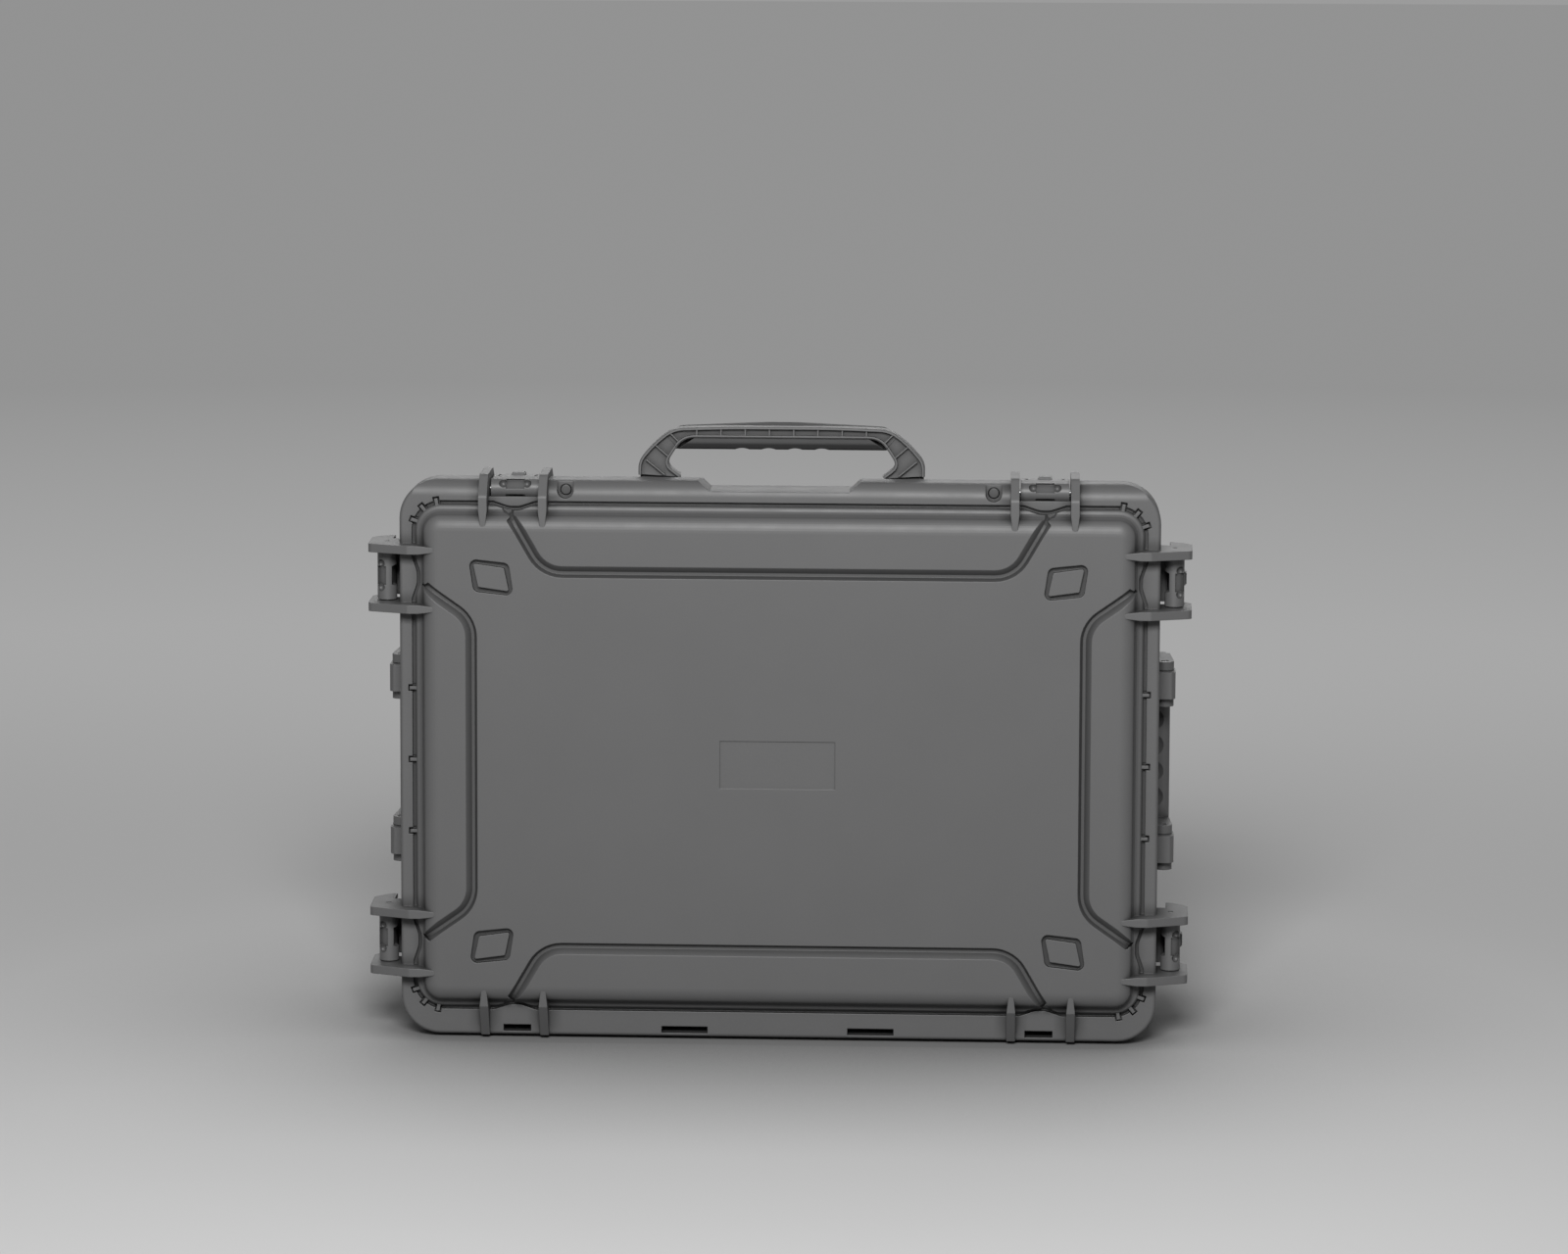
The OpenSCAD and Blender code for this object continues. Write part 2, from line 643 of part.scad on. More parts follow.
// The seal's ring, grown by g on each side
module seal_ring(g, t0, t1) {
    w = raised_w - land;
    h = raised_h - land;
    r = raised_r - land / 2;
    k = seal_w / 2 + g;
    difference() {
        slab(w + 2 * k, h + 2 * k, r + k, raised_z, t0, t1);
        slab(w - 2 * k, h - 2 * k, r - k, raised_z, t0 - 1, t1 + 1);
    }
}

module lid_seal() color([0.08, 0.08, 0.08])
    seal_ring(0, lid_back - seal_w + 0.6, lid_back + 0.1);

module lid_foam() color([0.25, 0.25, 0.26])
    slab(cavity_w - 20, cavity_h - 20, cavity_r - 1, raised_z, panel_wall + 0.3, lid_d - 6);

module hinge_pins() color([0.7, 0.7, 0.72])
    for (x = [-1, 1]) translate([x * latch_x, yt(hinge_t), hinge_z]) rotate([0, 90, 0])
        cylinder(r = hinge_pin_r, h = ear_gap + 2 * ear_t - 1, center = true);

module latch_pins() color([0.7, 0.7, 0.72])
    for (l = LATCHES) seated(l) pivot_rod(latch_pin_r, ear_gap + 2 * ear_t - 1);

// Lever of a latch on its seat: barrel in front, button place behind it, hook at the back
module latch_lever() {
    bw = latch_w;
    difference() {
        union() {
            pivot_rod(barrel_r, bw);
            along_x(bw) polygon([for (p = rounded([
                [pivot_t + 2, pivot_out + barrel_r - 1.6, 0], [pivot_t + 14, lever_out + 0.8, 12],
                [hook_t + 4, lever_out - 0.4, 8], [hook_t + 13, lever_out - 6, 1.1],
                [hook_t + 11, lever_out - 7.5, 1], [hook_t + hook_d, lever_out - 6.4, 1],
                [hook_t + hook_d, hook_tip, 0.8], [hook_t, hook_tip, 0.8],
                [hook_t, lever_under, 1], [pivot_t + 9, lever_under, 4],
                [pivot_t + 5.5, pivot_out - 5, 0]], 4)) [yt(p[0]), p[1]]]);
        }
        pivot_rod(latch_pin_r + running, bw + 2);
        // Pocket in the upper front with a round well at each end
        translate([0, yt(pivot_t), pivot_out]) rotate([-40, 0, 0]) {
            translate([-7, -barrel_r - 2, -4.5]) cube([14, 5.5, 9]);
            for (x = [-1, 1]) translate([x * 9, -barrel_r + 0.3, -0.5]) sphere(3.4);
        }
        // Notch in the foot of the barrel
        translate([0, yt(pivot_t) - 9, pivot_out - barrel_r]) rotate([-90, 0, 0])
            linear_extrude(18) polygon([[-9, 1], [9, 1], [7, -3.4], [-7, -3.4]]);
        // Button well
        translate([-button_w / 2 - gap / 2, yt(button_t - button_l / 2) - gap / 2, button_floor])
            cube([button_w + gap, button_l + gap, 20]);
        // Reliefs along both edges
        for (x = [-1, 1]) translate([x * (bw / 2 - 4.6) - 1, yt(pivot_t + 12), lever_out - 0.6])
            cube([2, hook_t - pivot_t - 14, 4]);
    }
}

module latch(l) color([0.14, 0.14, 0.14]) seated(l) latch_lever();

module latch_button(l) color([0.1, 0.1, 0.1]) seated(l) difference() {
    low = button_floor + button_travel + 0.3;
    top = lever_out + button_rise;
    translate([0, yt(button_t), 0]) {
        translate([-button_w / 2, -button_l / 2, low]) cube([button_w, button_l, top - low - 0.8]);
        translate([-button_w / 2 + 0.8, -button_l / 2 + 0.8, low])
            cube([button_w - 1.6, button_l - 1.6, top - low]);
    }
    translate([0, yt(button_t), low - 1]) cylinder(r = 3.4, h = spring_h + 2);
}

module button_spring(l) color([0.7, 0.7, 0.72]) seated(l)
    translate([0, yt(button_t), button_floor]) difference() {
        cylinder(r = 2.8, h = spring_h);
        translate([0, 0, -1]) cylinder(r = 2, h = spring_h + 2);
    }

// The base's hollow, with walls set in by g: the seal's land narrows its mouth
module base_cavity(g, t0, t1) {
    slab(cavity_w - 2 * g, cavity_h - 2 * g, cavity_r - g, raised_z, t0, flange_back + 1 + g);
    tapered(inner_w - 2 * g, inner_h - 2 * g, inner_r - g, mid_z, [[0, flange_back + g], [draft, t1]]);
}

module base_shell() color([0.16, 0.16, 0.16]) {
    axis_clear = norm([hinge_back + parting_gap / 2, hinge_up]) + gap;
    difference() {
        union() {
            slab(rim_w - 2 * flange_in, rim_h - 2 * flange_in, rim_r - flange_in, mid_z,
                base_front, flange_back);
            tapered(wall_w, wall_h, wall_r, mid_z, concat([[0, flange_back - 1]],
                [for (a = [0 : 15 : 90]) [draft - 0.4 + back_round * (1 - cos(a)),
                    case_d - back_round * (1 - sin(a))]]));
            // Pads for the side handle brackets
            for (x = [-1, 1], z = [-1, 1]) translate([x * pad_face, yt(side_t), side_z
                + z * bracket_span / 2])
                    translate([x > 0 ? -6 : 0, -bracket_l / 2, -bracket_h / 2])
                        cube([6, bracket_l, bracket_h]);
            // Lugs of the carrying handle
            for (x = [-1, 1], e = [leg_in - lug_t / 2 - 1.5, handle_x + lug_t / 2 + 1.5])
                translate([x * e, 0, 0]) along_x(lug_t) {
                    translate([yt(handle_t), handle_z]) circle(7);
                    translate([yt(handle_t) - 7, handle_z - 14]) square([14, 14]);
                }
            // Boss of the relief valve
            translate([0, yt(valve_t), valve_seat - 6]) cylinder(r = valve_r + 5, h = 6);
            feet_blocks();
            ribs_behind_flange();
        }
        // Inside
        base_cavity(0, base_front - 1, case_d - base_floor);
        flange_hollow(base_front - 1, base_front + 9, flange_in);
        // Catches: the flange is cut down between the ears
        for (l = LATCHES) if (l[1] == 0) seated(l) translate([-ear_x - ear_t / 2 - gap,
            yt(base_front) - 1, catch_out]) cube([2 * ear_x + ear_t + 2 * gap, flange_d + 2, 30]);
        handle_dip(dip_depth + 1.5, base_front - 1, flange_back + 1);
        // Cove that the lid's edge turns in
        translate([0, yt(hinge_t), hinge_z]) rotate([0, 90, 0])
            cylinder(r = axis_clear, h = rim_w + 2, center = true);
        translate([-rim_w / 2 - 1, yt(base_front) - 1, -1])
            cube([rim_w + 2, flange_d + 1 + eps, hinge_z + 1]);
        for (x = [-1, 1]) translate([x * (leg_in + handle_x) / 2, yt(handle_t), handle_z])
            rotate([0, 90, 0]) cylinder(r = handle_pin_r + held, h = 60, center = true);
        translate([0, yt(valve_t), valve_low - 10]) cylinder(r = valve_r, h = 30);
    }
    // Side catches, as lips along the flange's back edge
    for (l = LATCHES) if (l[1] != 0) seated(l) difference() {
        translate([-ear_gap / 2 + 1, yt(flange_back - catch_d), -flange_in - 2])
            cube([ear_gap - 2, catch_d, catch_out + flange_in + 2]);
        translate([-ear_gap, yt(flange_back - catch_d), catch_out - 2]) rotate([-40, 0, 0])
            mirror([0, 1, 0]) cube([2 * ear_gap, 10, 10]);
    }
    base_knuckles();
}

// Upright ribs that brace the flange's back, as on the moulding
module ribs_behind_flange() {
    pitch = bracket_span / 2 + bracket_h / 2 + side_lug + 10;
    for (x = [-1, 1], z = [-pitch, 0, pitch])
        translate([x * (rim_w / 2 - wall_in - 2), yt(flange_back) - 1, side_z + z - 1.5])
            mirror([x < 0 ? 1 : 0, 0, 0]) linear_extrude(3)
                polygon([[0, 0], [wall_in - flange_in, 0], [wall_in - flange_in, 1], [3, 9], [0, 9]]);
}

// Moulded feet under the base, each with a flat for its rubber pad
module feet_blocks() {
    for (x = [-1, 1], t = feet_t) translate([x * foot_x - foot_w / 2, yt(t) - foot_l / 2, floor_gap])
        cube([foot_w, foot_l, wall_in + draft + 2]);
}

module base_knuckles() {
    for (x = [-1, 1]) translate([x * latch_x, 0, 0]) difference() {
        along_x(ear_gap - 2 * latch_side_gap) {
            translate([yt(hinge_t), hinge_z]) circle(knuckle_r);
            polygon([for (p = [[base_front, hinge_z + 4.4], [base_front, hinge_z + 12.5],
                [flange_back + 6, hinge_z + 13.5], [flange_back + 6, hinge_z + 10],
                [flange_back + 1, hinge_z], [hinge_t + 5.8, hinge_z]]) [yt(p[0]), p[1]]]);
        }
        translate([0, yt(hinge_t), hinge_z]) rotate([0, 90, 0])
            cylinder(r = hinge_pin_r + running, h = ear_gap, center = true);
    }
}

module base_foam() color([0.22, 0.22, 0.23]) difference() {
    base_cavity(gap, lid_d + 8, case_d - base_floor - gap);
    slab(laptop_w, laptop_h, 10, raised_z, lid_d + 7, lid_d + 8 + laptop_d);
    for (x = [-1, 1]) translate([x * laptop_w / 2, yt(lid_d + 7), raised_z]) rotate([-90, 0, 0])
        cylinder(r = 18, h = laptop_d + 1);
}

// Section of a side handle's bracket in width and depth, its seat at x = 0
function bracket_outline() = let (o = outer_x - pad_face, a = side_t - bracket_l / 2,
    b = side_t + bracket_l / 2)
    rounded([[0, a, 0], [o - 3, a, 2], [o, a + 4, 3], [o, b - 6, 4], [o - 7, b, 4], [0, b, 0]], 4);

module side_handle_brackets() color([0.14, 0.14, 0.14])
    for (x = [-1, 1], z = [-1, 1])
        translate([x * pad_face, 0, side_z + z * bracket_span / 2]) mirror([x < 0 ? 1 : 0, 0, 0])
            difference() {
                translate([0, 0, -bracket_h / 2]) linear_extrude(bracket_h)
                    polygon([for (p = bracket_outline()) [p[0], yt(p[1])]]);
                translate([pivot_x - pad_face, yt(side_t), 0])
                    cylinder(r = side_pin_r + held, h = bracket_h + 2, center = true);
            }

module side_handle_pins() color([0.7, 0.7, 0.72])
    for (x = [-1, 1], z = [-1, 1])
        translate([x * pivot_x, yt(side_t), side_z + z * bracket_span / 2])
            cylinder(r = side_pin_r, h = 2 * lug_z + side_lug - 1, center = true);

// A folding side handle: a finger bar with four scallops, forked round each bracket
module side_handle(s) color([0.14, 0.14, 0.14]) {
    bar_t = side_t + bar_reach;
    bar_h = bracket_span + 2 * lug_z + side_lug;
    lug_r = outer_x - pivot_x - 1;
    translate([0, 0, side_z]) mirror([s < 0 ? 1 : 0, 0, 0]) difference() {
        union() {
            for (z = [-1, 1], k = [-1, 1])
                translate([pivot_x, yt(side_t), z * bracket_span / 2 + k * lug_z - side_lug / 2])
                    linear_extrude(side_lug) {
                        circle(lug_r);
                        polygon([[-lug_r, 0], [lug_r, 0], [lug_r - 2, bar_reach], [-lug_r - 1, bar_reach]]);
                    }
            translate([bar_x, yt(bar_t), 0]) {
                for (e = [[8, 0, 5.5], [3, 3, 4.5], [0, 7, 3]])
                    linear_extrude(bar_h - e[0], center = true)
                        round_rect(bar_w - e[1], bar_d - e[1], e[2]);
            }
        }
        for (z = [-1, 1]) translate([pivot_x, yt(side_t), z * bracket_span / 2])
            cylinder(r = side_pin_r + running, h = 2 * lug_z + 2 * side_lug, center = true);
        // Scallops in the edge towards the wall
        for (i = [-1.5 : 1 : 1.5])
            translate([bar_x - bar_w / 2 + 3, yt(bar_t) - bar_d / 2 - scallop_r + 3.5,
                i * finger_pitch]) sphere(scallop_r);
    }
}

module handle_pins() color([0.7, 0.7, 0.72])
    for (x = [-1, 1]) translate([x * (leg_in + handle_x) / 2, yt(handle_t), handle_z])
        rotate([0, 90, 0])
            cylinder(r = handle_pin_r, h = handle_x - leg_in + 2 * lug_t + 2, center = true);

// Outer and inner outlines of the carrying handle, each inset by d into the material
function handle_outer(d) = rounded(mirrored([
    [handle_x - d, frame_low - 20, 0], [handle_x - d, crown - 28, 9],
    [handle_x - 27 - d / 2, crown - 2.5 - d, 12], [40, crown - 0.6 - d, 60]]));
function handle_inner(d) = rounded(mirrored([
    [leg_in + d, frame_low - 21, 0], [leg_in + d, crown - 42, 6],
    [leg_in + 8.5 + d, crown - 32, 8], [leg_in + 2.5 + d, crown - 19, 12],
    [leg_in - 12 + d / 2, bar_under + d, 14]]));

// The arch's face between insets of its outlines, from depth t1 forwards
module arch(outer, inner, t1, l) {
    translate([0, yt(t1), 0]) rotate([90, 0, 0]) linear_extrude(l) difference() {
        polygon(handle_outer(outer));
        polygon(handle_inner(inner));
    }
}

module handle_frame() color([0.13, 0.13, 0.13]) {
    difference() {
        arch(0, 0, frame_back, frame_t);
        // Open channel in its front, crossed by ribs
        difference() {
            arch(handle_rim, handle_rim, frame_back - 2.5, frame_t);
            channel_ribs();
        }
        translate([-150, yt(frame_front) - 1, 0]) cube([300, 20, frame_low]);
    }
    // Legs behind the flange, turning on the pins and hidden by the arch
    difference() {
        intersection() {
            along_x(2 * handle_x) {
                translate([yt(handle_t), handle_z]) circle(6);
                polygon([for (p = [[handle_t - 6, handle_z], [flange_back + 1.1, handle_z + 6],
                    [flange_back + 1.1, frame_low + 2], [frame_back, frame_low + 12],
                    [handle_t + 6, frame_low + 6], [handle_t + 6, handle_z]]) [yt(p[0]), p[1]]]);
            }
            arch(0, 0, handle_t + 8, handle_t);
        }
        translate([0, yt(handle_t), handle_z]) rotate([0, 90, 0])
            cylinder(r = handle_pin_r + running, h = 2 * handle_x + 2, center = true);
    }
}

// Thin ribs across the open channel: upright along the arch and square to it down the legs
module channel_ribs() {
    for (i = [-3.5 : 1 : 3.5]) translate([i * 18.6 - 0.7, yt(frame_front) + 1, bar_under - 4])
        cube([1.4, frame_back - frame_front, 20]);
    for (m = [0, 1], r = [[6, 9.5, 41], [15.5, 19.5, 35], [20, 33.5, 42]])
        mirror([m, 0, 0]) translate([leg_in + r[0], yt(frame_front) + 1, crown - r[1]])
            rotate([0, -r[2], 0])
            translate([-20, 0, -0.7]) cube([40, frame_back - frame_front, 1.4]);
}

module handle_grip() color([0.1, 0.1, 0.1]) difference() {
    half = leg_in + 5;
    intersection() {
        along_x(2 * half) polygon([for (p = rounded([
            [frame_back + 0.1, crown + 0.8, 1.5], [frame_back + grip_back - 2, crown + 0.8, 6],
            [frame_back + grip_back, grip_low + 4, 6], [frame_back - 2, grip_low - 0.5, 8],
            [frame_front + 2.5, grip_low + 6, 3], [frame_front + 2.5, bar_under - 0.1, 0.6],
            [frame_back + 0.1, bar_under - 0.1, 0]], 5)) [yt(p[0]), p[1]]]);
        translate([0, yt(frame_front + 30), 0]) rotate([90, 0, 0]) linear_extrude(40)
            polygon(rounded([[-half, grip_low - 2, 4], [half, grip_low - 2, 4],
                [half + 1, crown - 3, 6], [0, crown + 1.2, 0], [-half - 1, crown - 3, 6]]));
    }
    for (i = [-1.5 : 1 : 1.5])
        translate([i * finger_pitch, yt(frame_front), grip_low - scallop_r + 2])
            rotate([-90, 0, 0]) cylinder(r = scallop_r, h = 40);
    // Its front part fits inside the arch
    arch(-4, -0.1, frame_back + 0.1, frame_t + 4);
}

module relief_valve() color([0.12, 0.12, 0.12]) {
    translate([0, yt(valve_t), valve_low]) cylinder(r = valve_r - held, h = valve_seat - valve_low + eps);
    translate([0, yt(valve_t), valve_seat]) difference() {
        cylinder(r = valve_r + 3, h = 3);
        for (a = [0, 60, 120]) rotate(a) translate([-valve_r - 4, -0.9, 1.8])
            cube([2 * valve_r + 8, 1.8, 3]);
    }
}

module rubber_feet() color([0.06, 0.06, 0.06])
    for (x = [-1, 1], t = feet_t) translate([x * foot_x - foot_w / 2 + 2, yt(t) - foot_l / 2 + 2, 0])
        cube([foot_w - 4, foot_l - 4, floor_gap]);

lid_shell();
lid_seal();
lid_foam();
hinge_pins();
latch_pins();
for (l = LATCHES) {
    latch(l);
    latch_button(l);
    button_spring(l);
}
base_shell();
base_foam();
side_handle_brackets();
side_handle_pins();
for (s = SIDES) side_handle(s[1]);
handle_pins();
handle_frame();
handle_grip();
relief_valve();
rubber_feet();
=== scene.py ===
# Laptop hard case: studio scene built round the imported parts.
import json
import math

import bmesh
import bpy
from mathutils import Matrix, Vector


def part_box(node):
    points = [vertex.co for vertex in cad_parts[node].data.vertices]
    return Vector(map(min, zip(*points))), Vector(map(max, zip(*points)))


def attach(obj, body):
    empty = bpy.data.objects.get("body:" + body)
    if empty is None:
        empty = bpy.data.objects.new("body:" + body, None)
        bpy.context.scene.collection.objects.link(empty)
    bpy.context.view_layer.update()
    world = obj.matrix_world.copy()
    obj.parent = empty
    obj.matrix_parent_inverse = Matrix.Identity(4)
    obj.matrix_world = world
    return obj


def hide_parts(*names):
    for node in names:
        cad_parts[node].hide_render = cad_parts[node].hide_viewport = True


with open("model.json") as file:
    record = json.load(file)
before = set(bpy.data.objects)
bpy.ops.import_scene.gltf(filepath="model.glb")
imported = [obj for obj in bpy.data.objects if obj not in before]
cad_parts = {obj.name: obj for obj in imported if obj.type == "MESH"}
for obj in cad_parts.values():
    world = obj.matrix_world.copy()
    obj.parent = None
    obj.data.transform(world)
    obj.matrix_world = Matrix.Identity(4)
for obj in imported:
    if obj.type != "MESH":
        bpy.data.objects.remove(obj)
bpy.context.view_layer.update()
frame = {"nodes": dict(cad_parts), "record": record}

NODES = frame["nodes"]
SCENE = bpy.context.scene

# Camera, set for a picture 1600 pixels wide
PHOTO_WIDTH = 1600
FOCAL_PX = 5236.0
EYE = (0.17, -3.95, 0.9)
YAW, PITCH, ROLL = 0.04302, -0.11157, 0.00346
SHIFT_UP = -0.12


def studio_camera():
    data = bpy.data.cameras.new("studio_camera")
    data.sensor_width = 36.0
    data.lens = data.sensor_width * FOCAL_PX / PHOTO_WIDTH
    data.shift_y = SHIFT_UP
    data.clip_end = 60.0
    camera = bpy.data.objects.new("studio_camera", data)
    camera.matrix_world = (Matrix.Translation(EYE) @ Matrix.Rotation(YAW, 4, "Z")
                           @ Matrix.Rotation(math.pi / 2 + PITCH, 4, "X") @ Matrix.Rotation(ROLL, 4, "Z"))
    SCENE.collection.objects.link(camera)
    SCENE.camera = camera


studio_camera()


# Materials
# Reach of the painted shade in grooves and gaps of moulded pieces
GROOVE_SHADE_REACH = 0.011


def new_material(name):
    mat = bpy.data.materials.new(name)
    mat.use_nodes = True
    tree = mat.node_tree
    tree.nodes.clear()
    out = tree.nodes.new("ShaderNodeOutputMaterial")
    shader = tree.nodes.new("ShaderNodeBsdfPrincipled")
    tree.links.new(shader.outputs[0], out.inputs[0])
    return mat, tree, shader


def object_coords(tree, stretch=(1, 1, 1)):
    coords = tree.nodes.new("ShaderNodeTexCoord").outputs["Object"]
    if stretch == (1, 1, 1):
        return coords
    mapping = tree.nodes.new("ShaderNodeMapping")
    mapping.inputs["Scale"].default_value = stretch
    tree.links.new(coords, mapping.inputs["Vector"])
    return mapping.outputs[0]


def noise(tree, coords, scale, detail=2.0, rough=0.5):
    n = tree.nodes.new("ShaderNodeTexNoise")
    n.inputs["Scale"].default_value = scale
    n.inputs["Detail"].default_value = detail
    n.inputs["Roughness"].default_value = rough
    tree.links.new(coords, n.inputs["Vector"])
    return n.outputs["Fac"]


def span(tree, value, lo, hi, start=0.0, end=1.0):
    """Maps a value that runs from start to end on to the span from lo to hi."""
    m = tree.nodes.new("ShaderNodeMapRange")
    m.inputs["From Min"].default_value = start
    m.inputs["From Max"].default_value = end
    m.inputs["To Min"].default_value = lo
    m.inputs["To Max"].default_value = hi
    tree.links.new(value, m.inputs["Value"])
    return m.outputs[0]


def multiply(tree, a, b):
    m = tree.nodes.new("ShaderNodeMath")
    m.operation = "MULTIPLY"
    tree.links.new(a, m.inputs[0])
    tree.links.new(b, m.inputs[1])
    return m.outputs[0]


def shades(tree, factor, dark, light):
    """A colour between two others."""
    mix = tree.nodes.new("ShaderNodeMix")
    mix.data_type = "RGBA"
    mix.inputs[6].default_value = (*dark, 1)
    mix.inputs[7].default_value = (*light, 1)
    tree.links.new(factor, mix.inputs[0])
    return mix.outputs[2]


def painted_groove_shade(tree, reach, darkest_shade):
    """1 on open faces, falling to the given level at the bottom of grooves and gaps of the same piece:
    painted shade where little light gets in.
    """
    ao = tree.nodes.new("ShaderNodeAmbientOcclusion")
    ao.samples = 8
    ao.only_local = True
    ao.inputs["Distance"].default_value = reach
    steeper = tree.nodes.new("ShaderNodeMath")
    steeper.operation = "POWER"
    steeper.inputs[1].default_value = 2.5
    tree.links.new(ao.outputs["AO"], steeper.inputs[0])
    return span(tree, steeper.outputs[0], darkest_shade, 1.0, 0.0, 0.95)


def painted_edge_highlight(tree, softened):
    """1 on flat faces, more along edges: a painted highlight where the softened edges catch the light."""
    facing = tree.nodes.new("ShaderNodeNewGeometry")
    match = tree.nodes.new("ShaderNodeVectorMath")
    match.operation = "DOT_PRODUCT"
    tree.links.new(softened, match.inputs[0])
    tree.links.new(facing.outputs["Normal"], match.inputs[1])
    return span(tree, match.outputs["Value"], 1.4, 1.0, 0.8, 0.985)


def moulded(name, tone, rough, grain=900.0, depth=0.00004, edge=0.0009, patchy=0.05, darkest_shade=0.28):
    """Injection-moulded plastic with softened edges, spark-eroded grain, a painted highlight along the
    edges and painted shade in grooves.
    """
    mat, tree, shader = new_material(name)
    at = object_coords(tree)
    bevel = tree.nodes.new("ShaderNodeBevel")
    bevel.samples = 6
    bevel.inputs["Radius"].default_value = edge
    bump = tree.nodes.new("ShaderNodeBump")
    bump.inputs["Strength"].default_value = 1.0
    bump.inputs["Distance"].default_value = depth
    tree.links.new(noise(tree, at, grain, 3.0, 0.6), bump.inputs["Height"])
    tree.links.new(bevel.outputs[0], bump.inputs["Normal"])
    tree.links.new(bump.outputs[0], shader.inputs["Normal"])
    cloudy = span(tree, noise(tree, at, 14.0, 3.0), 1 - patchy, 1 + patchy)
    fleck = span(tree, noise(tree, at, grain, 1.0), 1 - patchy, 1 + patchy)
    # Painted light and shade in the colour: lighter along edges, darker in grooves and gaps
    painted_light_and_shade = multiply(tree, painted_edge_highlight(tree, bevel.outputs[0]), painted_groove_shade(tree, GROOVE_SHADE_REACH, darkest_shade))
    level = multiply(tree, multiply(tree, cloudy, fleck), painted_light_and_shade)
    twice = (2 * tone, 2 * tone, 2.015 * tone)
    colour = shades(tree, span(tree, level, 0, 1, 0, 2), (0, 0, 0), twice)
    tree.links.new(colour, shader.inputs["Base Color"])
    rubbed = span(tree, noise(tree, at, 60.0), rough - 0.06, rough + 0.06)
    tree.links.new(rubbed, shader.inputs["Roughness"])
    return mat


def turned_steel(name):
    """Pins and springs: bright steel with fine turning marks."""
    mat, tree, shader = new_material(name)
    shader.inputs["Metallic"].default_value = 1.0
    marks = noise(tree, object_coords(tree, (1.0, 6.0, 6.0)), 700.0, 4.0)
    tree.links.new(shades(tree, marks, (0.42, 0.42, 0.43), (0.56, 0.56, 0.57)), shader.inputs["Base Color"])
    tree.links.new(span(tree, marks, 0.22, 0.45), shader.inputs["Roughness"])
    return mat


def cut_foam(name, tone):
    """Open-cell foam: small dark pores over a soft matte ground."""
    mat, tree, shader = new_material(name)
    at = object_coords(tree)
    cells = tree.nodes.new("ShaderNodeTexVoronoi")
    cells.inputs["Scale"].default_value = 900.0
    tree.links.new(at, cells.inputs["Vector"])
    pores = span(tree, cells.outputs["Distance"], 1.0, 0.0)
    dark = (0.4 * tone, 0.4 * tone, 0.42 * tone)
    light = (1.15 * tone, 1.15 * tone, 1.2 * tone)
    cloudy = span(tree, noise(tree, at, 25.0, 3.0), 0.75, 1.0)
    tree.links.new(shades(tree, multiply(tree, pores, cloudy), dark, light), shader.inputs["Base Color"])
    bump = tree.nodes.new("ShaderNodeBump")
    bump.inputs["Distance"].default_value = 0.0004
    tree.links.new(cells.outputs["Distance"], bump.inputs["Height"])
    tree.links.new(bump.outputs[0], shader.inputs["Normal"])
    shader.inputs["Roughness"].default_value = 0.95
    shader.inputs["Specular IOR Level"].default_value = 0.2
    return mat


MATERIALS = {
    "shell": moulded("moulded_shell", 0.109, 0.5),
    "latch": moulded("moulded_latch", 0.112, 0.45, grain=1300.0, depth=0.00002, edge=0.0006, darkest_shade=0.35),
    "handle": moulded("moulded_handle", 0.125, 0.48, edge=0.0004, darkest_shade=0.25),
    # A soft rubber grip whose tone is darkened for the shade it sits in behind the handle's bar: painted
    # shade
    "grip": moulded("soft_grip_painted_shade", 0.06, 0.75, grain=1600.0, depth=0.00003, darkest_shade=0.6),
    "seal": moulded("seal_rubber", 0.03, 0.6, grain=2000.0, depth=0.00001),
    "feet": moulded("foot_rubber", 0.035, 0.75, grain=1200.0, depth=0.00003),
    "pin": turned_steel("turned_steel"),
    "foam": cut_foam("open_cell_foam", 0.055),
}

SLOT_OF = {s["node"]: s["material_slot"] for s in frame["record"]["subparts"]}
for name, obj in NODES.items():
    obj.data.materials.clear()
    obj.data.materials.append(MATERIALS[SLOT_OF[name]])


# Pieces that stand for plainer solids
def mesh_piece(name, bm, body, slot, *stands_for):
    """A finished piece from its bmesh, riding on a body in place of the CAD nodes it stands for."""
    mesh = bpy.data.meshes.new(name)
    bm.to_mesh(mesh)
    bm.free()
    obj = bpy.data.objects.new(name, mesh)
    SCENE.collection.objects.link(obj)
    mesh.materials.append(MATERIALS[slot])
    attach(obj, body)
    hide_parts(*stands_for)
    return obj


def arc(x, z, r, start, turn, steps=8):
    """Points along an arc, with its angles in degrees."""
    return [(x + r * math.cos(math.radians(start + turn * i / steps)),
             z + r * math.sin(math.radians(start + turn * i / steps))) for i in range(steps + 1)]


def round_rect(w, h, r, thumb=0.0, straight=0.0):
    """A round-cornered rectangle in X and Z, with a round bulge of radius thumb in each side.

    A straight stretch in each side has as many points as a bulge, so that the two outlines join evenly.
    """
    points = []
    for s in (1, -1):
        half = arc(w / 2 - r, r - h / 2, r, -90, 90)
        if thumb:
            half += arc(w / 2, 0, thumb, -90, 180, 16)
        if straight:
            half += [(w / 2, z) for x, z in arc(0, 0, straight, -90, 180, 16)]
        half += arc(w / 2 - r, h / 2 - r, r, 0, 90)
        points += [(s * x, s * z) for x, z in half]
    return points


def closed_loop(bm, points):
    """Edges from each point to the next and back to the first."""
    verts = [bm.verts.new(p) for p in points]
    return [bm.edges.new(pair) for pair in zip(verts, verts[1:] + verts[:1])]


def ring(bm, outline, y, mid_x, mid_z):
    """Edges of a closed outline set at a depth."""
    return closed_loop(bm, [(x + mid_x, y, z + mid_z) for x, z in outline])


